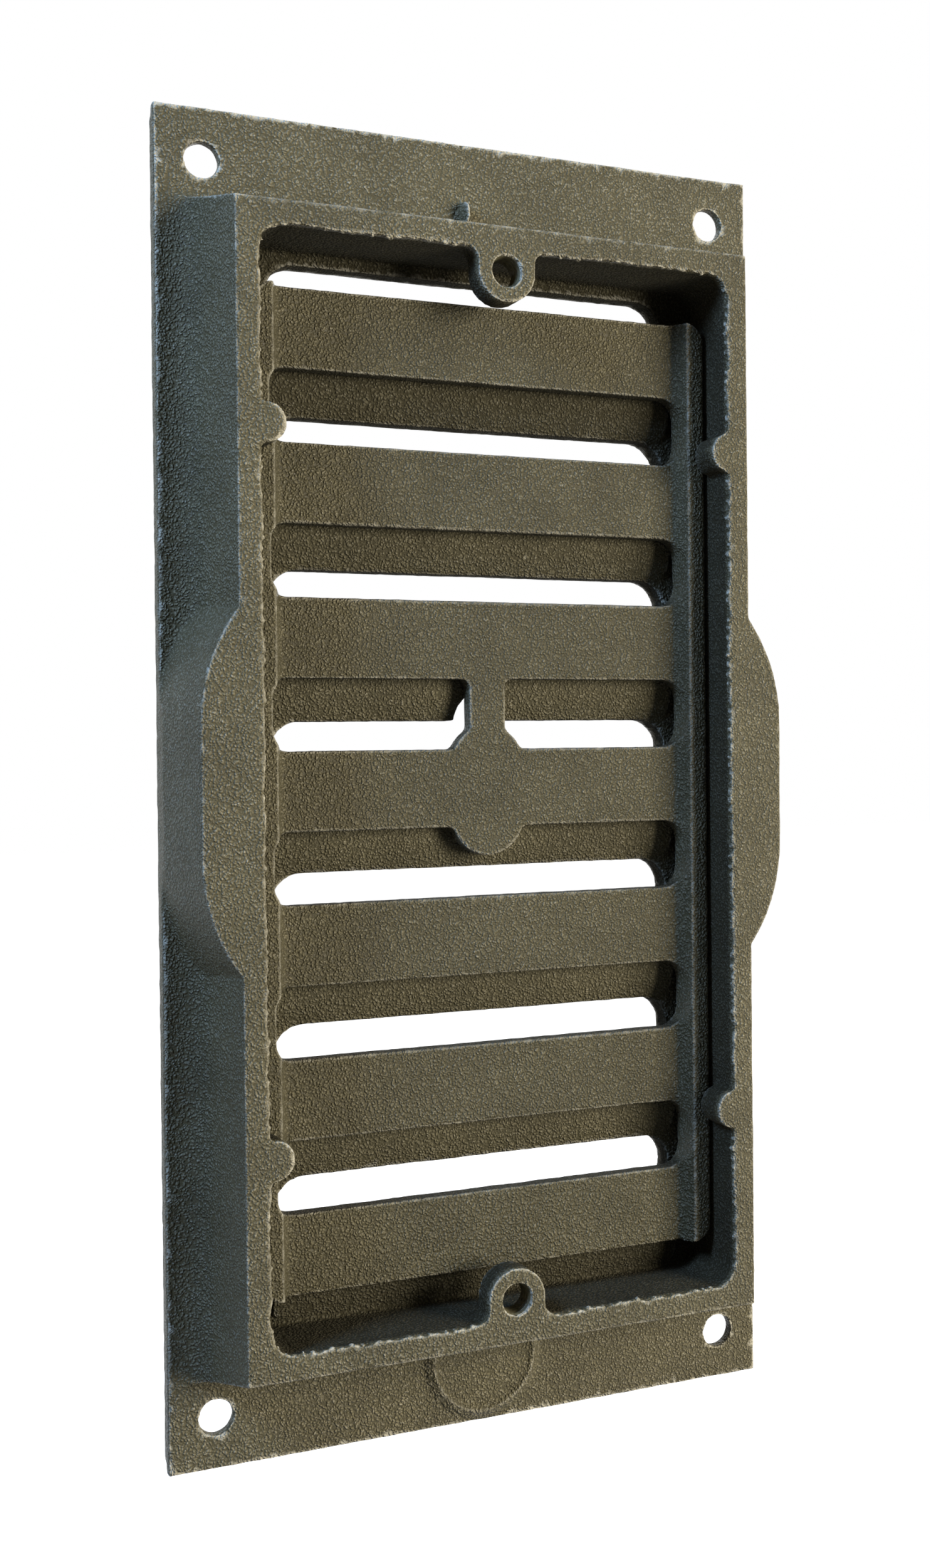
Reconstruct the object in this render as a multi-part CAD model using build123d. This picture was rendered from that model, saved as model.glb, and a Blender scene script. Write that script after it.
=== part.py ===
from build123d import *
import os
from math import radians, tan

# Cast-iron ventilation grille with a sliding shutter (a hit-and-miss vent).
#
# Frame: +Z up the grille, +X across it, +Y from the room into the wall.  The origin is the
# centre of the flange on its rear face, the face that seats on the wall.  Millimetres.
# Two pieces: the frame casting and the slide casting, with the slide's finger stud cast on.

# --- flange ---------------------------------------------------------------------------------
flange_width = 110.0
flange_height = 220.0
flange_thickness = 4.0
flange_corner_radius = 2.5
front_edge_chamfer = 1.0

# --- fixing holes, one in each corner of the flange -------------------------------------------
fixing_inset_x = 8.0               # from the flange's side edges
fixing_inset_z = 8.5               # from the flange's top and bottom edges
fixing_hole_radius = 2.75          # clearance for an M5 or No. 10 countersunk screw
countersink_radius = 4.75

# --- collar: the drafted box wall that stands in the wall opening --------------------------------
collar_height = 15.0
side_margin = 9.2                  # flange standing out past the rim, on each long side
end_margin = 18.0                  # and at the top and bottom
collar_draft = 12.5                # degrees, the wall leans outwards towards the flange
rim_land = 4.0                     # width of the flat rim
pocket_corner_radius = 4.0
side_cove_radius = 5.5             # hollow between the long walls and the flange
end_cove_radius = 1.5              # hollow between the short walls and the flange

# --- ears at mid height of the long walls -------------------------------------------------------
ear_margin = 3.0                   # from the ear's flat, at the rim, to the flange's edge
ear_flat_half = 10.4
ear_arc_radius = 30.0

# --- tapped lugs at the top and bottom of the rim -------------------------------------------------
lug_radius = 5.2
lug_inset = 3.4                    # from the end of the pocket to the lug's centre
lug_gap = 1.8                      # between the slide's rails and the level of the lugs' feet
lug_neck_fillet = 2.0
tapped_bore_radius = 2.5           # tapping size of an M6 thread

# --- retaining nibs over the slide's rails --------------------------------------------------------
nib_reach = 3.2
nib_radius = 3.4
nib_inset = 30.7                   # from the end of the pocket to the nib's centre

# --- front plate: slots and crowned bars ----------------------------------------------------------
slot_count = 7
slot_height = 10.0
slot_side_land = 1.0               # from the end of a slot to the inner side of the rail
bar_crown = 1.7                    # height of the bars' crowned backs above the flange's rear face
crown_overlap = 1.1                # the crowns run this far past the ends of the slots
crown_corner_radius = 3.0

# --- round pad under the collar -------------------------------------------------------------------
pad_radius = 10.5
pad_inset = 11.4                   # from the flange's bottom edge
pad_height = 0.5

# --- slide ----------------------------------------------------------------------------------------
running_clearance = 0.3            # between the slide and whatever guides, stops or retains it
side_clearance = 0.5               # on each side of the slide, in the pocket
slide_play = 12.6                  # whole travel of the slide between the ends of the pocket
slide_thickness = 3.0
slide_rest_drop = 6.3              # how far the slats stand below the slots' middles at rest
closed_stop_gap = 0.4              # left above the slide when its slats are centred on the slots
slat_overlap = 1.7                 # slats stand this far past a slot's edges when it is closed
rail_top_width = 3.6
rail_height = 3.2                  # above the slats' rear face
rail_bevel = 1.3
rail_edge_radius = 0.8             # rounding of the rails' outer rear edges
gap_corner_radius = 2.5
bridge_width = 6.8
foot_side_cover = 2.7              # how far the foot hides the sides of the stud's slot when closed
foot_top_cover = 1.0
foot_low_cover = 0.8
foot_slat = 3                      # counted from the top, the top slat being 0
foot_fillet = 1.2

# --- finger stud, cast with the slide, that reaches through its own slot to the front ----------------
stud_radius = 3.5
stud_rise = 5.4                    # stud's axis above the middle of the slat that carries the foot
stud_clearance = 0.5               # all round the stud, in its slot
stud_projection = 6.0              # past the front of the flange
stud_draft = 17.0                  # degrees, on the part in front of the flange
stud_tip_radius = 1.2              # rounding of the tip

# --- worked out from the sizes above ----------------------------------------------------------------
rim_width = flange_width - 2 * side_margin
rim_length = flange_height - 2 * end_margin
root_spread = collar_height * tan(radians(collar_draft))
pocket_width = rim_width - 2 * rim_land
pocket_length = rim_length - 2 * rim_land
ear_reach = flange_width / 2 - ear_margin
fixing_x = flange_width / 2 - fixing_inset_x
fixing_z = flange_height / 2 - fixing_inset_z
pad_centre_z = pad_inset - flange_height / 2

slide_width = pocket_width - 2 * side_clearance
slide_length = pocket_length - slide_play
slat_height = slot_height + 2 * slat_overlap
slot_pitch = (slide_length - slat_height) / (slot_count - 1)
slot_row_rise = slide_play / 2 - closed_stop_gap
slide_centre_z = slot_row_rise - slide_rest_drop
bar_height = slot_pitch - slot_height
gap_height = slot_pitch - slat_height

slide_front_y = bar_crown + running_clearance
slat_rear_y = slide_front_y + slide_thickness
rail_rear_y = slat_rear_y + rail_height
nib_front_y = rail_rear_y + running_clearance
nib_centre_z = pocket_length / 2 - nib_inset
lug_front_y = rail_rear_y + lug_gap
lug_centre_z = pocket_length / 2 - lug_inset
rail_inner_x = slide_width / 2 - rail_top_width
slot_length = 2 * (rail_inner_x - slot_side_land)
crown_length = slot_length + 2 * crown_overlap

foot_slat_offset = ((slot_count - 1) / 2 - foot_slat) * slot_pitch
foot_centre_z = slide_centre_z + foot_slat_offset
stud_z = foot_centre_z + stud_rise
stud_slot_width = 2 * (stud_radius + stud_clearance)
stud_slot_length = slide_play + stud_slot_width
stud_slot_z = foot_slat_offset + stud_rise
foot_width = stud_slot_width + 2 * foot_side_cover
foot_closed_z = slot_row_rise + foot_slat_offset
foot_top = stud_slot_z + stud_slot_length / 2 - foot_closed_z + foot_top_cover
foot_bottom = stud_slot_z - stud_slot_length / 2 - foot_closed_z - foot_low_cover
through = 4 * (collar_height + flange_thickness)


def slab(sketch, y_low, y_high, taper=0):
    """Extrude a sketch drawn as (x, z) from y_high down to y_low."""
    return extrude(Plane.XZ.offset(-y_high) * sketch, amount=y_high - y_low, taper=taper)


def row_height(index, count, pitch):
    """Height of one member of a centred upright row; the top member has index 0."""
    return ((count - 1) / 2 - index) * pitch


def wall_section(half_rim, half_flange, cove_radius):
    """Section of the solid collar, with a hollow where each leaning wall meets the flange."""
    foot = half_rim + root_spread
    sink = flange_thickness / 2
    section = make_face(Polyline(
        (-half_flange, -sink), (-half_flange, 0), (-foot, 0), (-half_rim, collar_height),
        (half_rim, collar_height), (foot, 0), (half_flange, 0), (half_flange, -sink), close=True,
    ))
    roots = [v for v in section.vertices() if abs(v.Y) < 0.01 and abs(v.X) < half_flange - 0.01]
    strip = half_flange - foot
    widest_cove = 0.95 * strip * tan(radians(45 + collar_draft / 2))
    return fillet(roots, min(cove_radius, widest_cove))


def flange():
    plate = slab(flange_outline(), -flange_thickness, 0)
    front_edges = plate.faces().sort_by(Axis.Y)[0].edges()
    return chamfer(front_edges, front_edge_chamfer)


def flange_outline():
    return RectangleRounded(flange_width, flange_height, flange_corner_radius)


def collar_block():
    """Solid collar: the long walls' section along Z crossed with the short walls' along X."""
    long_walls = wall_section(rim_width / 2, flange_width / 2, side_cove_radius)
    short_walls = wall_section(rim_length / 2, flange_height / 2, end_cove_radius)
    along_z = extrude(Plane.XY * long_walls, amount=flange_height / 2, both=True)
    upright = Plane(origin=(0, 0, 0), x_dir=(0, 0, 1), z_dir=(-1, 0, 0))
    along_x = extrude(upright * short_walls, amount=flange_width / 2, both=True)
    return along_z & along_x


def ear(side):
    """Drafted ear on one long wall: two arcs joined by a flat, down to the flange's edge."""
    arc_centre = ear_reach - ear_arc_radius
    outline = Pos(arc_centre, 0) * Rectangle(2 * ear_arc_radius, 2 * ear_flat_half)
    for z in (ear_flat_half, -ear_flat_half):
        outline += Pos(arc_centre, z) * Circle(ear_arc_radius)
    inner_x = rim_width / 2 - rim_land / 2
    keep = Pos(inner_x + ear_reach, 0) * Rectangle(2 * ear_reach, 4 * ear_arc_radius)
    lens = slab(outline & keep, 0, collar_height, taper=-collar_draft)
    lens &= slab(Rectangle(flange_width, flange_height), 0, collar_height)
    return lens if side > 0 else mirror(lens, about=Plane.YZ)


def hollow_outline():
    return RectangleRounded(pocket_width, pocket_length, pocket_corner_radius)


def hollow_around_lugs():
    """Outline of the hollow at the level of the lugs, with a fillet beside each lug's neck."""
    around = hollow_outline()
    for end in (-1, 1):
        around -= Pos(0, end * lug_centre_z) * Circle(lug_radius)
        neck = Rectangle(2 * lug_radius, lug_inset)
        around -= Pos(0, end * (lug_centre_z + lug_inset / 2)) * neck
    corners = [v for v in around.vertices()
               if abs(v.X) < lug_radius + 0.01 and abs(v.Y) > pocket_length / 2 - 0.01]
    return fillet(corners, lug_neck_fillet)


def pocket():
    """Hollow of the collar, which leaves the tapped lugs and the retaining nibs standing."""
    room = slab(hollow_outline(), 0, lug_front_y)
    room += slab(hollow_around_lugs(), lug_front_y, collar_height)
    nib = slab(Circle(nib_radius), nib_front_y, collar_height)
    nib_x = pocket_width / 2 - nib_reach + nib_radius
    nibs = [Pos(x, 0, z) * nib
            for x in (-nib_x, nib_x)
            for z in (-nib_centre_z, nib_centre_z)]
    return room - nibs


def bar_back(z_top, z_low):
    """Crowned back of one bar, which the slide rides on."""
    height = z_top - z_low
    middle = (z_top + z_low) / 2
    arc = ThreePointArc((-height / 2, 0), (0, bar_crown), (height / 2, 0))
    section = make_face([arc.edge(), Line((-height / 2, 0), (height / 2, 0)).edge()])
    upright = Plane(origin=(0, 0, middle), x_dir=(0, 0, 1), z_dir=(-1, 0, 0))
    crown = extrude(upright * section, amount=crown_length / 2, both=True)
    plan = Pos(0, middle) * RectangleRounded(crown_length, height, crown_corner_radius)
    return crown & slab(plan, 0, bar_crown)


def bars():
    """Crowned backs of the bars below every slot; the lowest one is the sill."""
    backs = []
    for index in range(slot_count):
        z_top = slot_height_at(index) - slot_height / 2
        z_low = max(z_top - bar_height, -pocket_length / 2)
        backs.append(bar_back(z_top, z_low))
    return backs


def slot_height_at(index):
    return slot_row_rise + row_height(index, slot_count, slot_pitch)


def slots():
    """Air slots, and the upright slot that the slide's finger stud travels in."""
    cuts = Pos(0, stud_slot_z) * SlotOverall(stud_slot_length, stud_slot_width, rotation=90)
    for index in range(slot_count):
        cuts += Pos(0, slot_height_at(index)) * SlotOverall(slot_length, slot_height)
    return slab(cuts, -through, slide_front_y)


def fixing_holes():
    """Countersunk from the front."""
    depth = countersink_radius - fixing_hole_radius
    sink = Pos(0, -flange_thickness + depth / 2, 0) * Rot(-90, 0, 0) * Cone(
        countersink_radius, fixing_hole_radius, depth)
    hole = slab(Circle(fixing_hole_radius), -flange_thickness, 0) + sink
    return [Pos(x, 0, z) * hole
            for x in (-fixing_x, fixing_x)
            for z in (-fixing_z, fixing_z)]


def tapped_bores():
    return [slab(Pos(0, z) * Circle(tapped_bore_radius), lug_front_y, collar_height)
            for z in (-lug_centre_z, lug_centre_z)]


def frame_casting():
    frame = flange() + collar_block() + ear(1) + ear(-1)
    frame -= pocket()
    frame += bars()
    frame += slab(Pos(0, pad_centre_z) * Circle(pad_radius), -flange_thickness / 2, pad_height)
    frame -= slots()
    frame -= fixing_holes()
    frame -= tapped_bores()
    return frame


def slide_section():
    """Cross-section of the slide: thin in the middle, with a bevelled rail on each side."""
    half = slide_width / 2
    bevel_foot = rail_inner_x - rail_bevel
    section = make_face(Polyline(
        (-half, slide_front_y), (-half, rail_rear_y), (-rail_inner_x, rail_rear_y),
        (-bevel_foot, slat_rear_y), (bevel_foot, slat_rear_y), (rail_inner_x, rail_rear_y),
        (half, rail_rear_y), (half, slide_front_y), close=True,
    ))
    outer = [v for v in section.vertices() if abs(v.X) > half - 0.01 and v.Y > rail_rear_y - 0.01]
    return fillet(outer, rail_edge_radius)


def foot_outline():
    """Long round-ended patch that carries the stud and covers the stud's slot when closed."""
    middle = foot_centre_z + (foot_top + foot_bottom) / 2
    return Pos(0, middle) * SlotOverall(foot_top - foot_bottom, foot_width, rotation=90)


def gap_cut(index):
    """Opening between two slats; the bridge and the foot stay standing in it."""
    middle = slide_centre_z + row_height(index, slot_count - 1, slot_pitch)
    gap = Pos(0, middle) * RectangleRounded(2 * rail_inner_x, gap_height, gap_corner_radius)
    if index == foot_slat - 1:
        gap -= Pos(0, middle) * Rectangle(bridge_width, gap_height)
    if index in (foot_slat - 1, foot_slat):
        gap -= foot_outline()
        inner = [v for v in gap.vertices() if abs(v.X) < foot_width]
        gap = fillet(inner, foot_fillet)
    return slab(gap, slide_front_y, rail_rear_y)


def finger_stud():
    """Straight in its slot, tapered in front of the flange, with a rounded tip."""
    tip_y = -flange_thickness - stud_projection
    tip_half = stud_radius - stud_projection * tan(radians(stud_draft))
    profile = make_face(Polyline(
        (0, slide_front_y), (stud_radius, slide_front_y), (stud_radius, -flange_thickness),
        (tip_half, tip_y), (0, tip_y), close=True,
    ))
    rim = [v for v in profile.vertices() if v.X > 0.01 and v.Y < tip_y + 0.01]
    stud = revolve(fillet(rim, stud_tip_radius), Axis.Y)
    return Pos(0, 0, stud_z) * stud


def slide_casting():
    outline = Pos(0, slide_centre_z) * RectangleRounded(
        slide_width, slide_length, pocket_corner_radius)
    blank = slab(outline, slide_front_y, rail_rear_y)
    blank &= extrude(Plane.XY * slide_section(), amount=slide_length, both=True)
    blank -= [gap_cut(index) for index in range(slot_count - 1)]
    return blank + finger_stud()


nodes = {
    "frame_casting": frame_casting(),
    "slide_casting": slide_casting(),
}

os.makedirs("parts", exist_ok=True)
for name, shape in nodes.items():
    export_step(shape, f"parts/{name}.step")
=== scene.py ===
import math

import bmesh
import bpy
import numpy as np
from mathutils import Euler, Matrix, Vector


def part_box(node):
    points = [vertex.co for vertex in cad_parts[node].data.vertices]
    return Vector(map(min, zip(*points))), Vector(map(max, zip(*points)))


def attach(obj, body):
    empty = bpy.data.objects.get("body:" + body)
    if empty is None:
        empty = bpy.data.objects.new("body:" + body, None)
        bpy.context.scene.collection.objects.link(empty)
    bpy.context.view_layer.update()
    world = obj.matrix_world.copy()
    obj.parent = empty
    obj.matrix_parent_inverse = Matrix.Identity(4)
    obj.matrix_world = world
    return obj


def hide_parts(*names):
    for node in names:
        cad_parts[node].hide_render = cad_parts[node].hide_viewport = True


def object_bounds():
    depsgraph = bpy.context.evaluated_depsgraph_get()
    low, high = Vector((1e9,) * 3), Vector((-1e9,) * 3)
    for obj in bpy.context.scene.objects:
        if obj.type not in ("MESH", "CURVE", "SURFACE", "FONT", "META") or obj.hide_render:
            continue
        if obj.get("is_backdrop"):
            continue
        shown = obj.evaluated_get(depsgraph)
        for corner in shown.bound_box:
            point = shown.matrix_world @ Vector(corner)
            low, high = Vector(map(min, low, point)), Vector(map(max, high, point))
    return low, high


bl_info = {
    "name": "Sliding Vent Grille",
    "version": (1, 1, 0),
    "blender": (4, 5, 0),
    "location": "View3D > Sidebar > Vent Grille",
    "description": "Sand-cast wall grille with a sliding shutter behind its slots, and a plain studio",
    "category": "Object",
}

MM = 0.001
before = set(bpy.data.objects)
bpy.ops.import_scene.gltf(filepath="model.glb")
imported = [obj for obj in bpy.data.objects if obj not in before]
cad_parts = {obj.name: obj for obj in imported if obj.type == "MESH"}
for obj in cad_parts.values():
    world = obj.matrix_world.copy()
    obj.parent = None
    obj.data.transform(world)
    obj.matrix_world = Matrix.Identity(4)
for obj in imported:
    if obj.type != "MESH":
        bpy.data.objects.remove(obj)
CAD_LOW, CAD_HIGH = (Vector(corner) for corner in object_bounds())
FRAME_LOW, FRAME_HIGH = (Vector(corner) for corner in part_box("frame_casting"))
SLIDE_LOW, SLIDE_HIGH = (Vector(corner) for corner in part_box("slide_casting"))


# --- colours and nodes ---------------------------------------------------------------------------

def linear(hex_colour):
    """sRGB hex to the linear RGBA that sockets take."""
    channels = [int(hex_colour[i:i + 2], 16) / 255 for i in (1, 3, 5)]
    return tuple(c / 12.92 if c <= 0.04045 else ((c + 0.055) / 1.055) ** 2.4
                 for c in channels) + (1.0,)


def add(tree, kind, inputs=None, **settings):
    """Adds a node, sets its properties, and sets or links its inputs."""
    node = tree.nodes.new(kind)
    for name, value in settings.items():
        setattr(node, name, value)
    for key, value in (inputs or {}).items():
        sources = value if isinstance(value, list) else [value]
        for source in sources:
            if isinstance(source, bpy.types.NodeSocket):
                tree.links.new(source, node.inputs[key])
            else:
                node.inputs[key].default_value = source
    return node


def new_material(name):
    material = bpy.data.materials.new(name)
    material.use_nodes = True
    material.node_tree.nodes.clear()
    return material


# --- sizes and colours a user would change --------------------------------------------------------

def length(name, description, size):
    return bpy.props.FloatProperty(
        name=name, description=description, unit="LENGTH", default=size * MM, precision=5)


def colour(name, description, hex_colour):
    return bpy.props.FloatVectorProperty(
        name=name, description=description, subtype="COLOR", size=4, min=0, max=1,
        default=linear(hex_colour))


class CastIronFinish(bpy.types.PropertyGroup):
    body: colour("Body", "Main colour of the dark casting", "#5A553E")
    hollow: colour("Hollows", "Colour between the sand grains", "#242114")
    crest: colour("Crests", "Colour on top of the sand grains", "#807A62")
    # this colour also paints glints on points and highlights along edges
    bare: colour("Bare iron", "Rubbed edges and bare metal points", "#C4C0AC")
    grain: length("Sand grain", "Width of one grain of the mould's surface", 0.46)
    relief: length("Grain relief", "Height of the grains", 0.25)


class CastingSkin(bpy.types.PropertyGroup):
    cell: length("Skin cell", "Cell that a casting's skin is rebuilt with", 0.36)
    swell: length("Unevenness", "Depth of the slow unevenness of a sand casting", 0.16)
    wander: length("Rim wander", "How far the inner edge of the rim wanders", 0.5)
    tooth: length("Flash tooth", "Size of one broken tooth of flash along the rim", 0.46)
    tooth_pitch: length("Tooth spacing", "Distance between teeth of flash", 1.6)
    seed: bpy.props.IntProperty(
        name="Seed", description="Seed of the flash and the unevenness", default=4)


class SlideSizes(bpy.types.PropertyGroup):
    slats: bpy.props.IntProperty(
        name="Slats", description="Number of slats between the rails", default=7, min=2)
    pitch: length("Slat pitch", "Height from one slat to the next", 25.0)
    gap: length("Gap", "Height of the gap between two slats", 11.6)
    gap_corner: length("Gap corner", "Corner radius of a gap", 3.3)
    gap_shift: length("Gap shift", "How far the gaps stand off the middle sideways", 0.5)
    corner: length("Outline corner", "Corner radius of the slide's outline", 4.0)
    front: length("Front face", "Depth of the slats' front face", 2.0)
    slat_back: length("Slat back", "Depth of the slats' rear face", 5.0)
    rail_top: length("Rail top", "Width of the rails' rear face", 3.6)
    rail_bevel: length("Rail bevel", "Width of the bevel at the rails' inner feet", 1.3)
    rail_round: length("Rail rounding", "Radius of the rails' outer rear edges", 0.8)
    bridge: length("Bridge", "Width of the bridge above the foot", 6.8)
    foot_width: length("Foot width", "Width of the round-ended foot", 13.4)
    foot_top: length("Foot top", "Height of the foot's top end", 10.4)
    foot_bottom: length("Foot bottom", "Height of the foot's bottom end", -12.0)
    foot_fillet: length("Foot fillet", "Radius where the foot and the bridge meet the slats", 1.2)
    stud: length("Stud radius", "Radius of the finger stud in its slot", 3.5)
    stud_height: length("Stud height", "Height of the finger stud's axis", 5.0)
    stud_taper: length("Stud taper start", "Depth at which the stud starts to taper", -4.0)
    stud_tip: length("Stud tip", "Radius of the stud's tip", 1.67)


class LugThread(bpy.types.PropertyGroup):
    radius: length("Bore radius", "Radius that the bores are opened to around the thread", 2.7)
    crest: length("Crest radius", "Radius at the thread's crest", 2.38)
    pitch: length("Pitch", "Thread pitch", 1.0)
    height: length("Lug height", "Height of the lugs' bores above and below the middle", 84.6)
    start: length("Lug foot", "Depth at which the bores start", 10.0)


# --- mesh tools -----------------------------------------------------------------------------------

def new_piece(name, mesh):
    piece = bpy.data.objects.new(name, mesh)
    bpy.context.scene.collection.objects.link(piece)
    return piece


def merged_copy(node):
    """Copy of a CAD node's mesh with its loose triangles joined."""
    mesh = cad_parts[node].data.copy()
    mesh.materials.clear()
    bm = bmesh.new()
    bm.from_mesh(mesh)
    bmesh.ops.remove_doubles(bm, verts=bm.verts, dist=1e-6)
    bm.to_mesh(mesh)
    bm.free()
    return mesh


def applied(piece):
    """Turns a piece's modifiers into plain mesh."""
    depsgraph = bpy.context.evaluated_depsgraph_get()
    mesh = bpy.data.meshes.new_from_object(piece.evaluated_get(depsgraph), depsgraph=depsgraph)
    piece.modifiers.clear()
    piece.data = mesh
    return mesh


def joined(first, second):
    """One mesh that holds both."""
    bm = bmesh.new()
    bm.from_mesh(first)
    bm.from_mesh(second)
    bm.to_mesh(first)
    bm.free()
    return first


def read(collection, attribute, width):
    values = np.empty(len(collection) * width, np.float32)
    collection.foreach_get(attribute, values)
    values = values.astype(np.float64)
    return values.reshape(-1, width) if width > 1 else values


def store(mesh, name, values):
    attribute = mesh.attributes.new(name, "FLOAT", "POINT")
    attribute.data.foreach_set("value", values.astype(np.float32))


def lattice_noise(points, size, seed):
    """Smooth value noise from 0 to 1 with bumps of the given size."""
    grid = points / size + 1000.0
    cell = np.floor(grid).astype(np.int64)
    t = grid - cell
    t = t * t * (3 - 2 * t)
    total = np.zeros(len(points))
    for corner in range(8):
        step = np.array([corner & 1, corner >> 1 & 1, corner >> 2 & 1])
        key = (cell + step) @ np.array([73856093, 19349663, 83492791]) + seed * 2654435761
        key = (key ^ (key >> 13)) * 1274126177 & 0x7FFFFFFF
        key = (key ^ (key >> 15)) * 668265263 & 0x7FFFFFFF
        weight = np.prod(np.where(step, t, 1 - t), axis=1)
        total += weight * (key / 0x7FFFFFFF)
    return total


def rounded_box_distance(across, up, half_across, half_up, radius):
    """Distance outside a rounded rectangle, negative inside, and the direction outwards."""
    qx = np.abs(across) - (half_across - radius)
    qz = np.abs(up) - (half_up - radius)
    outside = np.hypot(np.maximum(qx, 0), np.maximum(qz, 0))
    distance = outside + np.minimum(np.maximum(qx, qz), 0) - radius
    gx = np.where(outside > 0, np.maximum(qx, 0) / np.maximum(outside, 1e-9), qx > qz)
    gz = np.where(outside > 0, np.maximum(qz, 0) / np.maximum(outside, 1e-9), qx <= qz)
    return distance, gx * np.sign(across), gz * np.sign(up)


def mark_edges(mesh):
    """Stores how far each point stands out from its neighbours, for rubbed edges that also carry
    painted highlight.
    """
    points = read(mesh.vertices, "co", 3)
    normals = read(mesh.vertices, "normal", 3)
    edges = np.empty(len(mesh.edges) * 2, np.int32)
    mesh.edges.foreach_get("vertices", edges)
    a, b = edges.reshape(-1, 2).T
    span = points[b] - points[a]
    size = np.maximum(np.linalg.norm(span, axis=1), 1e-9)
    drop = np.zeros(len(points))
    count = np.zeros(len(points))
    np.add.at(drop, a, -np.einsum("ij,ij->i", span, normals[a]) / size)
    np.add.at(drop, b, np.einsum("ij,ij->i", span, normals[b]) / size)
    np.add.at(count, a, 1)
    np.add.at(count, b, 1)
    store(mesh, "stand_out", drop / np.maximum(count, 1))


def as_cast(piece, skin, most_triangles, roughen=None):
    """Gives a sharp shape the rounded, slightly uneven skin of a sand casting."""
    remesh = piece.modifiers.new("skin", "REMESH")
    remesh.mode = "VOXEL"
    remesh.voxel_size = skin.cell
    remesh.use_smooth_shade = True
    soften = piece.modifiers.new("soften", "SMOOTH")
    soften.factor = 0.5
    soften.iterations = 2
    mesh = applied(piece)
    points = read(mesh.vertices, "co", 3)
    normals = read(mesh.vertices, "normal", 3)
    sink = skin.swell * (0.5 * lattice_noise(points, 7 * MM, skin.seed)
                         + 0.4 * lattice_noise(points, 2.2 * MM, skin.seed + 2)
                         + 0.5 * lattice_noise(points, 1.0 * MM, skin.seed + 5))
    moved = points - normals * (sink + 0.02 * MM)[:, None]
    if roughen:
        moved = roughen(points, moved)
    mesh.vertices.foreach_set("co", moved.astype(np.float32).ravel())
    mesh.update()
    triangles = sum(len(p.vertices) - 2 for p in mesh.polygons)
    if triangles > most_triangles:
        thin = piece.modifiers.new("thin", "DECIMATE")
        thin.ratio = most_triangles / triangles
        mesh = applied(piece)
    mesh.shade_smooth()
    mark_edges(mesh)
    return mesh


# --- Geometry Nodes ----------------------------------------------------------------------------------

SOCKETS = {"LENGTH": "NodeSocketFloat", "NUMBER": "NodeSocketFloat", "COUNT": "NodeSocketInt",
           "MATERIAL": "NodeSocketMaterial"}


def new_tree(name, inputs):
    """Empty tree with a geometry going in and out, and the named inputs."""
    tree = bpy.data.node_groups.new(name, "GeometryNodeTree")
    tree.interface.new_socket(name="Geometry", in_out="INPUT", socket_type="NodeSocketGeometry")
    for label, kind in inputs.items():
        tree.interface.new_socket(name=label, in_out="INPUT", socket_type=SOCKETS[kind])
    tree.interface.new_socket(name="Geometry", in_out="OUTPUT", socket_type="NodeSocketGeometry")
    return tree, add(tree, "NodeGroupInput").outputs


def end_tree(tree, geometry, material):
    real = add(tree, "GeometryNodeRealizeInstances", {"Geometry": geometry})
    dressed = add(tree, "GeometryNodeSetMaterial", {
        "Geometry": real.outputs["Geometry"], "Material": material})
    add(tree, "NodeGroupOutput", {"Geometry": dressed.outputs["Geometry"]})


def grown(name, base, tree, values):
    """A piece made by running a tree on a base mesh with the given inputs."""
    piece = new_piece(name, base)
    modifier = piece.modifiers.new(tree.name, "NODES")
    modifier.node_group = tree
    for item in tree.interface.items_tree:
        if item.in_out == "INPUT" and item.name in values:
            modifier[item.identifier] = values[item.name]
    applied(piece)
    if not piece.data.polygons:
        raise RuntimeError(f"{tree.name} made no faces")
    return piece


def maths(tree, operation, *terms):
    return add(tree, "ShaderNodeMath", dict(enumerate(terms)), operation=operation).outputs[0]


def vector(tree, x=0.0, y=0.0, z=0.0):
    return add(tree, "ShaderNodeCombineXYZ", {"X": x, "Y": y, "Z": z}).outputs["Vector"]


def thick(tree, face, offset):
    """Closed solid between a flat face and its copy moved by the offset."""
    pushed = add(tree, "GeometryNodeExtrudeMesh", {
        "Mesh": face, "Offset": offset, "Offset Scale": 1.0, "Individual": False}, mode="FACES")
    back = add(tree, "GeometryNodeFlipFaces", {"Mesh": face})
    both = add(tree, "GeometryNodeJoinGeometry", {
        "Geometry": [back.outputs["Mesh"], pushed.outputs["Mesh"]]})
    return add(tree, "GeometryNodeMergeByDistance", {
        "Geometry": both.outputs["Geometry"], "Distance": 1e-6}).outputs["Geometry"]


def filled(tree, curve):
    return add(tree, "GeometryNodeFillCurve", {"Curve": curve}, mode="NGONS").outputs["Mesh"]


def upright(tree, face, near, far):
    """Stands a flat face up in the XZ plane and thickens it from one depth to another."""
    depth = maths(tree, "SUBTRACT", far, near)
    solid = thick(tree, face, vector(tree, z=depth))
    return add(tree, "GeometryNodeTransform", {
        "Geometry": solid, "Translation": vector(tree, y=near),
        "Rotation": (-math.pi / 2, 0, 0)}).outputs["Geometry"]


def rounded_block(tree, width, height, radius, near, far):
    """Upright block with rounded corners, centred on the origin."""
    outline = add(tree, "GeometryNodeCurvePrimitiveQuadrilateral", {
        "Width": width, "Height": height}, mode="RECTANGLE")
    soft = add(tree, "GeometryNodeFilletCurve", {
        "Curve": outline.outputs["Curve"], "Count": 6, "Radius": radius,
        "Limit Radius": True}, mode="POLY")
    return upright(tree, filled(tree, soft.outputs["Curve"]), near, far)


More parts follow.
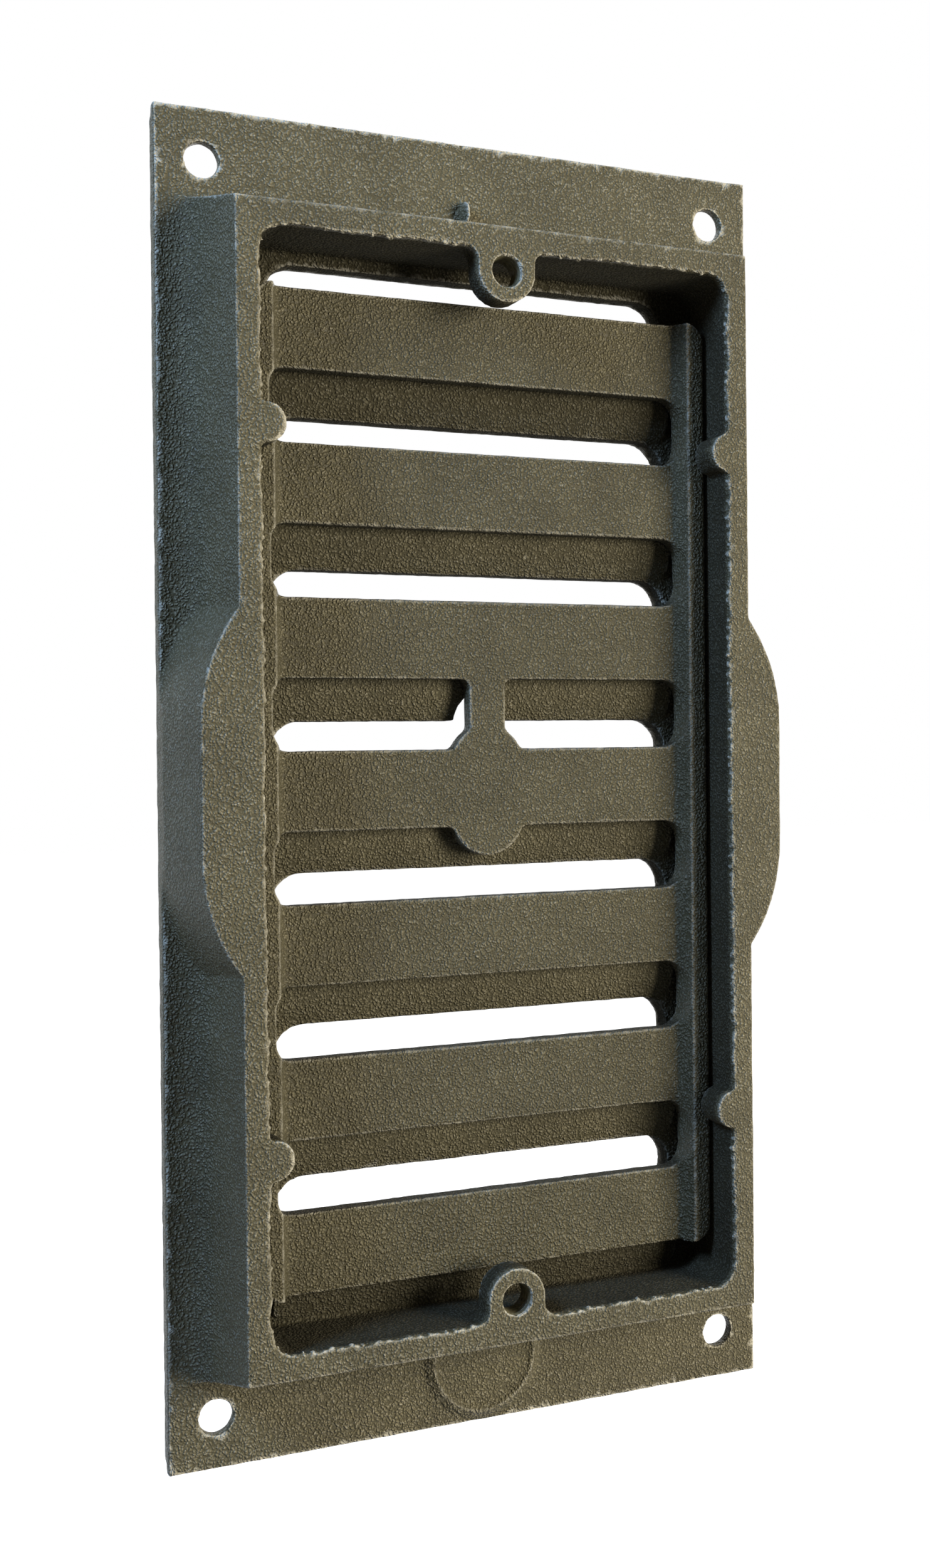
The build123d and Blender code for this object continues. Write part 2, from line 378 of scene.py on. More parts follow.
def bar_of(tree, section, tall, depth):
    """Upright bar with the given section, halfway up at the origin and at the given depth."""
    solid = thick(tree, filled(tree, section), vector(tree, z=tall))
    return add(tree, "GeometryNodeTransform", {
        "Geometry": solid, "Translation": vector(
            tree, y=depth, z=maths(tree, "MULTIPLY", tall, -0.5))}).outputs["Geometry"]


def moved_to(tree, geometry, z):
    return add(tree, "GeometryNodeTransform", {
        "Geometry": geometry, "Translation": vector(tree, z=z)}).outputs["Geometry"]


def cut(tree, solid, operation, tools):
    """Exact solid difference or intersection."""
    if operation == "DIFFERENCE":
        inputs = {"Mesh 1": solid, "Mesh 2": tools}
    else:
        inputs = {"Mesh 2": [solid] + tools}
    node = add(tree, "GeometryNodeMeshBoolean", operation=operation, solver="EXACT")
    for name, solids in inputs.items():
        for each in solids if isinstance(solids, list) else [solids]:
            tree.links.new(each, node.inputs[name])
    return node.outputs["Mesh"]


def slats_between_rails():
    """Slide casting: a blank with two rails, less one instanced cutter for each gap."""
    tree, given = new_tree("slats between rails", {
        "Slats": "COUNT", "Pitch": "LENGTH", "Gap": "LENGTH", "Gap Corner": "LENGTH",
        "Gap Shift": "LENGTH", "Width": "LENGTH", "Length": "LENGTH", "Corner": "LENGTH",
        "Middle": "LENGTH", "Front": "LENGTH", "Slat Back": "LENGTH", "Rail Back": "LENGTH",
        "Rail Top": "LENGTH", "Rail Bevel": "LENGTH", "Rail Round": "LENGTH", "Stud": "LENGTH",
        "Stud Height": "LENGTH", "Stud Taper": "LENGTH", "Stud Tip": "LENGTH",
        "Stud End": "LENGTH", "Material": "MATERIAL"})
    blank = rounded_block(tree, given["Width"], given["Length"], given["Corner"],
                          given["Front"], given["Rail Back"])
    # the section's rounded corners lie on the rails; its front ones are past the slats' front
    deep = maths(tree, "MULTIPLY", maths(tree, "SUBTRACT", given["Rail Back"], given["Front"]), 2.0)
    section = add(tree, "GeometryNodeCurvePrimitiveQuadrilateral", {
        "Width": given["Width"], "Height": deep}, mode="RECTANGLE")
    section = add(tree, "GeometryNodeFilletCurve", {
        "Curve": section.outputs["Curve"], "Count": 5, "Radius": given["Rail Round"]}, mode="POLY")
    tall = maths(tree, "MULTIPLY", given["Length"], 1.2)
    section = bar_of(tree, section.outputs["Curve"], tall, given["Front"])
    blank = cut(tree, blank, "INTERSECT", [section])
    # trough between the rails, narrower at its floor by the two bevels
    rise = maths(tree, "SUBTRACT", given["Rail Back"], given["Slat Back"])
    mouth = maths(tree, "SUBTRACT", given["Width"], maths(tree, "MULTIPLY", given["Rail Top"], 2.0))
    floor = maths(tree, "SUBTRACT", mouth, maths(tree, "MULTIPLY", given["Rail Bevel"], 2.0))
    lean = maths(tree, "MULTIPLY", given["Rail Bevel"], 4.0)
    trough = add(tree, "GeometryNodeCurvePrimitiveQuadrilateral", {
        "Bottom Width": floor, "Top Width": maths(tree, "ADD", floor, lean),
        "Height": maths(tree, "MULTIPLY", rise, 2.0), "Offset": 0.0}, mode="TRAPEZOID")
    trough = bar_of(tree, trough.outputs["Curve"], tall, given["Rail Back"])
    # one cutter for each gap between two slats
    through = maths(tree, "ADD", given["Rail Back"], 1 * MM)
    short = maths(tree, "SUBTRACT", given["Front"], 1 * MM)
    cutter = rounded_block(tree, maths(tree, "ADD", mouth, given["Gap Shift"]), given["Gap"],
                           given["Gap Corner"], short, through)
    cutter = add(tree, "GeometryNodeTransform", {
        "Geometry": cutter, "Translation": vector(tree, x=given["Gap Shift"])}).outputs["Geometry"]
    gaps = maths(tree, "SUBTRACT", given["Slats"], 1.0)
    half = maths(tree, "MULTIPLY", maths(tree, "SUBTRACT", gaps, 1.0), 0.5)
    lowest = maths(tree, "MULTIPLY", maths(tree, "MULTIPLY", half, given["Pitch"]), -1.0)
    row = add(tree, "GeometryNodeMeshLine", {
        "Count": gaps, "Start Location": vector(tree, z=lowest),
        "Offset": vector(tree, z=given["Pitch"])}, mode="OFFSET", count_mode="TOTAL")
    cutters = add(tree, "GeometryNodeInstanceOnPoints", {
        "Points": row.outputs["Mesh"], "Instance": cutter})
    cutters = add(tree, "GeometryNodeRealizeInstances", {
        "Geometry": cutters.outputs["Instances"]}).outputs["Geometry"]
    ladder = moved_to(tree, cut(tree, blank, "DIFFERENCE", [trough, cutters]), given["Middle"])
    # bridge and foot in one, from the outline that the base mesh gives
    outline = add(tree, "GeometryNodeMeshToCurve", {"Mesh": given["Geometry"]})
    turn = add(tree, "GeometryNodeInputNamedAttribute", {"Name": "turn"}, data_type="FLOAT")
    outline = add(tree, "GeometryNodeFilletCurve", {
        "Curve": outline.outputs["Curve"], "Count": 4, "Radius": turn.outputs["Attribute"],
        "Limit Radius": True}, mode="POLY")
    foot = upright(tree, filled(tree, outline.outputs["Curve"]), given["Front"], given["Slat Back"])
    # finger stud: straight in its slot, then tapered
    straight = maths(tree, "SUBTRACT", maths(tree, "ADD", given["Front"], 1 * MM), given["Stud Taper"])
    barrel = add(tree, "GeometryNodeMeshCylinder", {
        "Vertices": 48, "Radius": given["Stud"], "Depth": straight}, fill_type="NGON")
    barrel_y = maths(tree, "ADD", given["Stud Taper"], maths(tree, "MULTIPLY", straight, 0.5))
    reach = maths(tree, "SUBTRACT", given["Stud Taper"], given["Stud End"])
    nose = add(tree, "GeometryNodeMeshCone", {
        "Vertices": 48, "Radius Top": given["Stud Tip"], "Radius Bottom": given["Stud"],
        "Depth": reach}, fill_type="NGON")
    stud = [add(tree, "GeometryNodeTransform", {
        "Geometry": part.outputs["Mesh"], "Rotation": (math.pi / 2, 0, 0),
        "Translation": vector(tree, y=depth, z=given["Stud Height"])}).outputs["Geometry"]
        for part, depth in ((barrel, barrel_y), (nose, given["Stud Taper"]))]
    everything = add(tree, "GeometryNodeJoinGeometry", {"Geometry": [ladder, foot] + stud})
    end_tree(tree, everything.outputs["Geometry"], given["Material"])
    return tree


def foot_outline(sizes, middle):
    """Closed outline of bridge and foot as a mesh, with the fillet wanted at each corner."""
    radius = sizes.foot_width / 2
    slat_half = (sizes.pitch - sizes.gap) / 2
    next_slat = middle + sizes.pitch - slat_half
    high, low = sizes.foot_top - radius, sizes.foot_bottom + radius
    half_bridge = sizes.bridge / 2
    wide = radius + 3 * MM
    fillet = sizes.foot_fillet

    def half_width(z):
        beyond = max(z - high, low - z, 0)
        return math.sqrt(radius ** 2 - beyond ** 2)

    def arc(centre, start, stop, steps):
        return [(radius * math.sin(a), centre + radius * math.cos(a), 0.0)
                for a in np.linspace(start, stop, steps)]

    top, bottom = middle + slat_half, middle - slat_half
    neck = math.asin(half_bridge / radius)
    shoulder = math.acos((top - high) / radius)
    hip = math.acos((bottom - low) / radius)
    right = [(wide, next_slat + 1 * MM, 0.0), (wide, next_slat, 0.0),
             (half_bridge, next_slat, fillet),
             (half_bridge, high + radius * math.cos(neck), fillet)]
    right += arc(high, neck, shoulder, 5)[1:-1]
    right += [(half_width(top), top, fillet), (wide, top, 0.0), (wide, bottom, 0.0),
              (half_width(bottom), bottom, fillet)]
    right += arc(low, hip, math.pi, 9)[1:]
    left = [(-x, z, turn) for x, z, turn in reversed(right[:-1])]
    corners = right + left
    mesh = bpy.data.meshes.new("foot outline")
    count = len(corners)
    mesh.from_pydata([(x, -z, 0.0) for x, z, turn in corners],
                     [(i, (i + 1) % count) for i in range(count)], [])
    store(mesh, "turn", np.array([turn for x, z, turn in corners]))
    return mesh


def screw_thread():
    """Helical ridge of a tapped hole, one for each point of the base mesh."""
    tree, given = new_tree("screw thread", {
        "Crest Radius": "LENGTH", "Pitch": "LENGTH", "Turns": "NUMBER", "Material": "MATERIAL"})
    # an equilateral ridge as wide as the pitch, its crest towards the axis
    ridge = maths(tree, "MULTIPLY", given["Pitch"], 1 / math.sqrt(3))
    path_radius = maths(tree, "ADD", given["Crest Radius"], ridge)
    helix = add(tree, "GeometryNodeCurveSpiral", {
        "Resolution": 40, "Rotations": given["Turns"], "Start Radius": path_radius,
        "End Radius": path_radius, "Height": maths(tree, "MULTIPLY", given["Turns"], given["Pitch"])})
    helix = add(tree, "GeometryNodeSetCurveNormal", {"Curve": helix.outputs["Curve"]})
    helix.mode = "Z_UP"
    profile = add(tree, "GeometryNodeCurvePrimitiveCircle", {
        "Resolution": 3, "Radius": ridge}, mode="RADIUS")
    swept = add(tree, "GeometryNodeCurveToMesh", {
        "Curve": helix.outputs["Curve"], "Profile Curve": profile.outputs["Curve"],
        "Fill Caps": True})
    lying = add(tree, "GeometryNodeTransform", {
        "Geometry": swept.outputs["Mesh"], "Rotation": (-math.pi / 2, 0, 0)})
    placed = add(tree, "GeometryNodeInstanceOnPoints", {
        "Points": given["Geometry"], "Instance": lying.outputs["Geometry"]})
    end_tree(tree, placed.outputs["Instances"], given["Material"])
    return tree


def flash_teeth():
    """Small broken lumps of flash strewn along the edges of the base mesh."""
    tree, given = new_tree("flash teeth", {
        "Spacing": "LENGTH", "Size": "LENGTH", "Seed": "COUNT", "Material": "MATERIAL"})
    path = add(tree, "GeometryNodeMeshToCurve", {"Mesh": given["Geometry"]})
    points = add(tree, "GeometryNodeCurveToPoints", {
        "Curve": path.outputs["Curve"], "Length": given["Spacing"]}, mode="LENGTH")
    half = maths(tree, "MULTIPLY", given["Size"], 0.6)
    low = maths(tree, "MULTIPLY", half, -1.0)
    shift = add(tree, "FunctionNodeRandomValue", {
        "Min": vector(tree, low, maths(tree, "MULTIPLY", low, 0.5), low),
        "Max": vector(tree, half, 0.0, half), "Seed": given["Seed"]}, data_type="FLOAT_VECTOR")
    strewn = add(tree, "GeometryNodeSetPosition", {
        "Geometry": points.outputs["Points"], "Offset": shift.outputs["Value"]})
    lump = add(tree, "GeometryNodeMeshIcoSphere", {"Radius": 0.5, "Subdivisions": 2})
    small = maths(tree, "MULTIPLY", given["Size"], 0.7)
    large = maths(tree, "MULTIPLY", given["Size"], 2.0)
    size = add(tree, "FunctionNodeRandomValue", {
        "Min": vector(tree, small, small, small), "Max": vector(tree, large, large, large),
        "Seed": maths(tree, "ADD", given["Seed"], 7.0)}, data_type="FLOAT_VECTOR")
    lumps = add(tree, "GeometryNodeInstanceOnPoints", {
        "Points": strewn.outputs["Geometry"], "Instance": lump.outputs["Mesh"],
        "Scale": size.outputs["Value"]})
    end_tree(tree, lumps.outputs["Instances"], given["Material"])
    return tree


# --- finishes --------------------------------------------------------------------------------------

def sand_cast_iron(name, finish, painted_dimming=1.0):
    """Dark iron from a sand mould: a dull olive grey whose grains catch the light one by one,
    with painted glints as bare-metal points, rubbed edges partly painted highlight, and painted shade
    in recesses."""
    material = new_material(name)
    tree = material.node_tree
    place = add(tree, "ShaderNodeTexCoord").outputs["Object"]
    edge = add(tree, "ShaderNodeAttribute", attribute_name="stand_out").outputs["Fac"]
    # painted shade stored on recessed faces and on the slats' upper and lower edges
    sunk = add(tree, "ShaderNodeAttribute", attribute_name="sunk").outputs["Fac"]
    cove = add(tree, "ShaderNodeAttribute", attribute_name="cove").outputs["Fac"]
    # packed sand grains, one to a Voronoi cell, pushed about so that they don't line up
    stir = add(tree, "ShaderNodeTexNoise", {
        "Vector": place, "Scale": 1 / (1.6 * MM), "Detail": 1.0})
    push = add(tree, "ShaderNodeVectorMath", {
        0: stir.outputs["Color"], "Scale": 0.9 * MM}, operation="SCALE")
    stirred = add(tree, "ShaderNodeVectorMath", {0: place, 1: push.outputs["Vector"]}, operation="ADD")
    grains = add(tree, "ShaderNodeTexVoronoi", {
        "Vector": stirred.outputs["Vector"], "Scale": 1 / finish.grain}, feature="F1")
    round_top = add(tree, "ShaderNodeMapRange", {
        "Value": grains.outputs["Distance"], "From Min": 0.75, "From Max": 0.1},
        interpolation_type="SMOOTHSTEP")
    dust = add(tree, "ShaderNodeTexNoise", {
        "Vector": place, "Scale": 1 / (0.30 * MM), "Detail": 1.0, "Roughness": 0.5})
    cloud = add(tree, "ShaderNodeTexNoise", {
        "Vector": place, "Scale": 1 / (12 * MM), "Detail": 3.0})
    orange = add(tree, "ShaderNodeTexNoise", {
        "Vector": place, "Scale": 1 / (1.7 * MM), "Detail": 1.0})
    tint = add(tree, "ShaderNodeMix", {
        "Factor": round_top.outputs["Result"], "A": finish.hollow, "B": finish.crest},
        data_type="RGBA")
    body = add(tree, "ShaderNodeMix", {
        "Factor": 0.5, "A": finish.body, "B": tint.outputs["Result"]}, data_type="RGBA")
    # bare points with painted glints: the dust's highest peaks, on top of a grain; and rubbed edges,
    # partly painted highlight
    peak = add(tree, "ShaderNodeMapRange", {
        "Value": dust.outputs["Fac"], "From Min": 0.55, "From Max": 0.68})
    bare_point_glint = maths(tree, "MULTIPLY", peak.outputs["Result"], round_top.outputs["Result"])
    rub_and_highlight = add(tree, "ShaderNodeMapRange", {
        "Value": maths(tree, "MULTIPLY_ADD", dust.outputs["Fac"], 0.12, edge),
        "From Min": 0.11, "From Max": 0.27, "To Max": 0.7})
    bare = maths(tree, "MAXIMUM", maths(tree, "MULTIPLY", bare_point_glint, 0.34), rub_and_highlight.outputs["Result"])
    coloured = add(tree, "ShaderNodeMix", {
        "Factor": bare, "A": body.outputs["Result"], "B": finish.bare}, data_type="RGBA")
    # a factor below 1 darkens the whole iron: painted shade on the slide
    mottle = add(tree, "ShaderNodeMapRange", {
        "Value": cloud.outputs["Fac"], "From Min": 0.35, "From Max": 0.65,
        "To Min": 0.88 * painted_dimming, "To Max": 1.1 * painted_dimming})
    # painted shade darkens the recessed faces; its strength is a guess
    shade = maths(tree, "MULTIPLY", mottle.outputs["Result"],
                  maths(tree, "MULTIPLY_ADD", sunk, -0.62, 1.0))
    toned = add(tree, "ShaderNodeVectorMath", {
        0: coloured.outputs["Result"], "Scale": shade}, operation="SCALE")
    gloss = add(tree, "ShaderNodeMapRange", {
        "Value": dust.outputs["Fac"], "From Min": 0.35, "From Max": 0.7,
        "To Min": 0.50, "To Max": 0.28})
    height = maths(tree, "MULTIPLY_ADD", dust.outputs["Fac"], 0.8, round_top.outputs["Result"])
    height = maths(tree, "MULTIPLY_ADD", orange.outputs["Fac"], 0.4, height)
    dull = add(tree, "ShaderNodeMix", {
        "Factor": sunk, "A": gloss.outputs["Result"], "B": 0.95}, data_type="FLOAT")
    # the coves are taken to be smoother, so that they shine where a lamp falls on them
    smooth = maths(tree, "MULTIPLY", dull.outputs["Result"],
                   maths(tree, "MULTIPLY_ADD", cove, -0.35, 1.0))
    bump = add(tree, "ShaderNodeBump", {
        "Height": height, "Strength": 1.0, "Distance": finish.relief})
    shader = add(tree, "ShaderNodeBsdfPrincipled", {
        "Base Color": toned.outputs["Vector"], "Roughness": smooth,
        "Normal": bump.outputs["Normal"], "Metallic": 0.0, "Specular IOR Level": 0.11})
    add(tree, "ShaderNodeOutputMaterial", {"Surface": shader.outputs["BSDF"]})
    return material


def tapped_iron(name, finish):
    """Iron cut by a tap: as dark as the casting and smoother, so that each turn shows."""
    material = new_material(name)
    tree = material.node_tree
    place = add(tree, "ShaderNodeTexCoord").outputs["Object"]
    chatter = add(tree, "ShaderNodeTexNoise", {
        "Vector": place, "Scale": 1 / (0.5 * MM), "Detail": 2.0})
    shade = add(tree, "ShaderNodeMapRange", {
        "Value": chatter.outputs["Fac"], "From Min": 0.3, "From Max": 0.7,
        "To Min": 0.6, "To Max": 1.1})
    toned = add(tree, "ShaderNodeVectorMath", {
        0: tuple(finish.body)[:3], "Scale": shade.outputs["Result"]}, operation="SCALE")
    shader = add(tree, "ShaderNodeBsdfPrincipled", {
        "Base Color": toned.outputs["Vector"], "Roughness": 0.38, "Metallic": 0.0})
    add(tree, "ShaderNodeOutputMaterial", {"Surface": shader.outputs["BSDF"]})
    return material


# --- the grille --------------------------------------------------------------------------------------

POCKET_HALF_WIDTH = 41.8 * MM
POCKET_HALF_HEIGHT = 88.0 * MM
POCKET_CORNER = 4.0 * MM
PLATE_DEPTH = 1.7 * MM
NIB_RADIUS = 3.3 * MM
NIB_LENGTH = 6.2 * MM
NIB_X, NIB_MIDDLE, NIB_Z = 40.9 * MM, 11.75 * MM, 57.3 * MM
FIN_X, FIN_Z = 1.6 * MM, 97.6 * MM
FIN_HALF_SIZE = (0.7, 2.6, 2.4)
PAD_Z = -98.6 * MM
RING_RADIUS = 9.3 * MM
RING_HALF_WIDTH = 0.6 * MM
RING_DEPTH, RING_RISE = 0.45 * MM, 0.5 * MM
# the slide's iron is darker than the frame's: painted shade for its place deep in the pocket
SLIDE_PAINTED_SHADE = 0.80
FRAME_TRIANGLES = 195000
SLIDE_TRIANGLES = 150000


def rim_path(depth):
    """The rim's inner edge as a closed line of mesh edges, passing straight by the lugs."""
    straight_x = POCKET_HALF_WIDTH - POCKET_CORNER
    straight_z = POCKET_HALF_HEIGHT - POCKET_CORNER
    corners = []
    for cx, cz, start in ((1, 1, 0), (-1, 1, 90), (-1, -1, 180), (1, -1, 270)):
        for step in range(7):
            angle = math.radians(start + 15 * step)
            corners.append((cx * straight_x + POCKET_CORNER * math.cos(angle), depth,
                            cz * straight_z + POCKET_CORNER * math.sin(angle)))
    mesh = bpy.data.meshes.new("rim path")
    count = len(corners)
    ends = [(i, (i + 1) % count) for i in range(count)]
    mesh.from_pydata(corners, ends, [])
    return mesh


def casting_marks():
    """What the mould left: two nibs drawn out by flash, a fin above the collar, a pad's ring."""
    bm = bmesh.new()
    for z in (-NIB_Z, NIB_Z):
        nib = bmesh.ops.create_cone(
            bm, cap_ends=True, segments=32, radius1=NIB_RADIUS, radius2=NIB_RADIUS, depth=NIB_LENGTH)
        bmesh.ops.rotate(bm, verts=nib["verts"], matrix=Matrix.Rotation(math.pi / 2, 3, "X"))
        bmesh.ops.translate(bm, verts=nib["verts"], vec=(NIB_X, NIB_MIDDLE, z))
    fin = bmesh.ops.create_icosphere(bm, subdivisions=3, radius=1 * MM)
    bmesh.ops.scale(bm, verts=fin["verts"], vec=FIN_HALF_SIZE)
    bmesh.ops.translate(bm, verts=fin["verts"], vec=(FIN_X, 0.6 * MM, FIN_Z))
    around, across = 96, 12

    def ring_point(u, v):
        reach = RING_RADIUS + RING_HALF_WIDTH * math.cos(v)
        return (math.cos(u) * reach, RING_DEPTH + RING_RISE * math.sin(v),
                math.sin(u) * reach + PAD_Z)

    ring = [[bm.verts.new(ring_point(u, v))
             for v in np.linspace(0, 2 * math.pi, across, endpoint=False)]
            for u in np.linspace(0, 2 * math.pi, around, endpoint=False)]
    for i in range(around):
        for j in range(across):
            bm.faces.new((ring[i][j], ring[i][(j + 1) % across],
                          ring[(i + 1) % around][(j + 1) % across], ring[(i + 1) % around][j]))
    bmesh.ops.recalc_face_normals(bm, faces=bm.faces)
    mesh = bpy.data.meshes.new("casting marks")
    bm.to_mesh(mesh)
    bm.free()
    return mesh


def casting_moves(skin, thread):
    """Makes the mover that roughens the rim's inner edge and opens the lugs' bores."""
    def move(points, moved):
        x, y, z = points.T
        moved = moved.copy()
        distance, out_x, out_z = rounded_box_distance(
            x, z, POCKET_HALF_WIDTH, POCKET_HALF_HEIGHT, POCKET_CORNER)
        near = np.exp(-(distance / (1.3 * MM)) ** 2)
        high = np.clip((y - FRAME_HIGH.y + 2.2 * MM) / (1.6 * MM), 0, 1)
        wander = (lattice_noise(points * [1, 0.3, 1], 2.4 * MM, skin.seed + 7) - 0.4) * 1.2
        wander += (lattice_noise(points * [1, 0.3, 1], 0.9 * MM, skin.seed + 9) - 0.5) * 0.6
        shift = skin.wander * wander * near * high
        moved[:, 0] -= shift * out_x
        moved[:, 2] -= shift * out_z
        for side in (-1, 1):
            across, up = moved[:, 0], moved[:, 2] - side * thread.height
            reach = np.maximum(np.hypot(across, up), 1e-6)
            inside = (reach < thread.radius) & (y > thread.start - 1 * MM)
            widen = np.where(inside, thread.radius / reach, 1.0)
            moved[:, 0] = across * widen
            moved[:, 2] = up * widen + side * thread.height
        return moved

    return move


def mark_painted_recess_shade(mesh, plate, rim):
    """Stores painted shade by how deep a face lies in the pocket: its walls fully, the bars in part.
    """
    points = read(mesh.vertices, "co", 3)
    flatness = np.abs(read(mesh.vertices, "normal", 3)[:, 1])
    distance, out_x, out_z = rounded_box_distance(
        points[:, 0], points[:, 2], POCKET_HALF_WIDTH, POCKET_HALF_HEIGHT, POCKET_CORNER)
    inside = (distance < 0.8 * MM) & (points[:, 1] > FRAME_LOW.y + 1 * MM)
    below = rim - points[:, 1]
    wall = np.clip(below / (0.6 * MM), 0, 1) * np.clip((0.93 - flatness) / 0.3, 0, 1)
    deep = np.clip(below / (rim - plate), 0, 1) ** 2
    # the painted shade grows towards the pocket's top and bottom ends, where the bars lie in shadow
    ends = np.maximum(np.clip((points[:, 2] - 25 * MM) / (45 * MM), 0, 1),
                      np.clip((-points[:, 2] - 71 * MM) / (8 * MM), 0, 1))
    store(mesh, "sunk", np.where(inside, np.maximum(wall, deep * (0.36 + 0.54 * ends)), 0.0))


def mark_coves(mesh):
    """Stores where the coves along the collar's long sides are."""
    points = read(mesh.vertices, "co", 3)
    normals = read(mesh.vertices, "normal", 3)
    slant = 2 * np.abs(normals[:, 0]) * normals[:, 1]
    outside = (np.abs(points[:, 0]) > 46 * MM) & (points[:, 1] > 0) & (points[:, 1] < 7 * MM)
    store(mesh, "cove", np.where(outside, np.clip((slant - 0.6) / 0.35, 0, 1), 0.0))


def mark_slat_edge_shade(mesh, front):
    """Stores painted shade for the slide, on the upper and lower edges of its slats."""
    points = read(mesh.vertices, "co", 3)
    upward = np.abs(read(mesh.vertices, "normal", 3)[:, 2])
    edge = np.clip((upward - 0.5) / 0.3, 0, 1) * 0.8
    store(mesh, "sunk", np.where(points[:, 1] > front, edge, 0.0))


class VENT_OT_frame(bpy.types.Operator):
    """Sand-cast frame with its flange, collar, ears, lugs and slots"""
    bl_idname = "vent.frame"
    bl_label = "Frame casting"

    def execute(self, context):
        scene = context.scene
        skin = scene.vent_skin
        iron = sand_cast_iron("sand-cast iron, frame", scene.vent_iron)
        piece = new_piece("grille_frame", merged_copy("frame_casting"))
        teeth = grown("flash", rim_path(FRAME_HIGH.y - 0.75 * MM), flash_teeth(), {
            "Spacing": skin.tooth_pitch, "Size": skin.tooth, "Seed": skin.seed, "Material": iron})
        piece.data = joined(piece.data, teeth.data)
        piece.data = joined(piece.data, casting_marks())
        bpy.data.objects.remove(teeth)
        mesh = as_cast(piece, skin, FRAME_TRIANGLES, casting_moves(skin, scene.vent_thread))
        # painted shade on the pocket's walls and bars
        mark_painted_recess_shade(mesh, PLATE_DEPTH, FRAME_HIGH.y - 1 * MM)
        mark_coves(mesh)
        mesh.materials.clear()
        mesh.materials.append(iron)
        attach(piece, "frame")
        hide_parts("frame_casting")
        return {"FINISHED"}


class VENT_OT_slide(bpy.types.Operator):
    """Sand-cast slide with its slats, rails, foot and finger stud"""
    bl_idname = "vent.slide"
    bl_label = "Slide casting"

    def execute(self, context):
        scene = context.scene
        sizes = scene.vent_slide
        # a darker copy of the iron: painted shade on the slide
        iron = sand_cast_iron("sand-cast iron, slide", scene.vent_iron, SLIDE_PAINTED_SHADE)
        middle = (SLIDE_LOW.z + SLIDE_HIGH.z) / 2
        piece = grown("grille_slide", foot_outline(sizes, middle), slats_between_rails(), {
            "Slats": sizes.slats, "Pitch": sizes.pitch, "Gap": sizes.gap,
            "Gap Corner": sizes.gap_corner, "Gap Shift": sizes.gap_shift,
            "Width": SLIDE_HIGH.x - SLIDE_LOW.x, "Length": SLIDE_HIGH.z - SLIDE_LOW.z,
            "Corner": sizes.corner, "Middle": middle,
            "Front": sizes.front, "Slat Back": sizes.slat_back, "Rail Back": SLIDE_HIGH.y,
            "Rail Top": sizes.rail_top, "Rail Bevel": sizes.rail_bevel,
            "Rail Round": sizes.rail_round, "Stud": sizes.stud, "Stud Height": sizes.stud_height,
            "Stud Taper": sizes.stud_taper, "Stud Tip": sizes.stud_tip,
            "Stud End": SLIDE_LOW.y, "Material": iron})
        mesh = as_cast(piece, scene.vent_skin, SLIDE_TRIANGLES)
        mesh.materials.clear()
        mesh.materials.append(iron)
        # painted shade on the slats' upper and lower edges
        mark_slat_edge_shade(mesh, sizes.front)
        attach(piece, "slide")
        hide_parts("slide_casting")
        return {"FINISHED"}


class VENT_OT_threads(bpy.types.Operator):
    """Cut threads in the two lugs"""
    bl_idname = "vent.threads"
    bl_label = "Lug threads"

    def execute(self, context):
        scene = context.scene
        thread = scene.vent_thread
        lugs = bpy.data.meshes.new("lug centres")
        lugs.from_pydata(
            [(0, thread.start + 0.3 * MM, side * thread.height) for side in (-1, 1)], [], [])
        run = FRAME_HIGH.y - thread.start - 1.1 * MM
        piece = grown("lug_threads", lugs, screw_thread(), {
            "Crest Radius": thread.crest, "Pitch": thread.pitch, "Turns": run / thread.pitch,
            "Material": tapped_iron("tapped iron, lug threads", scene.vent_iron)})
        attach(piece, "frame")
        return {"FINISHED"}


# --- studio ------------------------------------------------------------------------------------------

def area_light(name, place, target, size, power, colour):
    data = bpy.data.lights.new(name, "AREA")
    data.shape = "RECTANGLE"
    data.size, data.size_y = size
    data.energy = power
    data.color = linear(colour)[:3]
    lamp = bpy.data.objects.new(name, data)
    lamp.location = place
    lamp.rotation_euler = (Vector(target) - Vector(place)).to_track_quat("-Z", "Y").to_euler()
    bpy.context.scene.collection.objects.link(lamp)


def seen_directly(tree):
    """1 for the camera's own rays and for what gloss or glass shows, 0 for scattered light."""
    path = add(tree, "ShaderNodeLightPath")
    total = add(tree, "ShaderNodeMath", {
        0: path.outputs["Is Camera Ray"], 1: path.outputs["Is Glossy Ray"]}, operation="ADD")
    return add(tree, "ShaderNodeMath", {
        0: total.outputs[0], 1: path.outputs["Is Transmission Ray"]},
        operation="ADD", use_clamp=True).outputs[0]


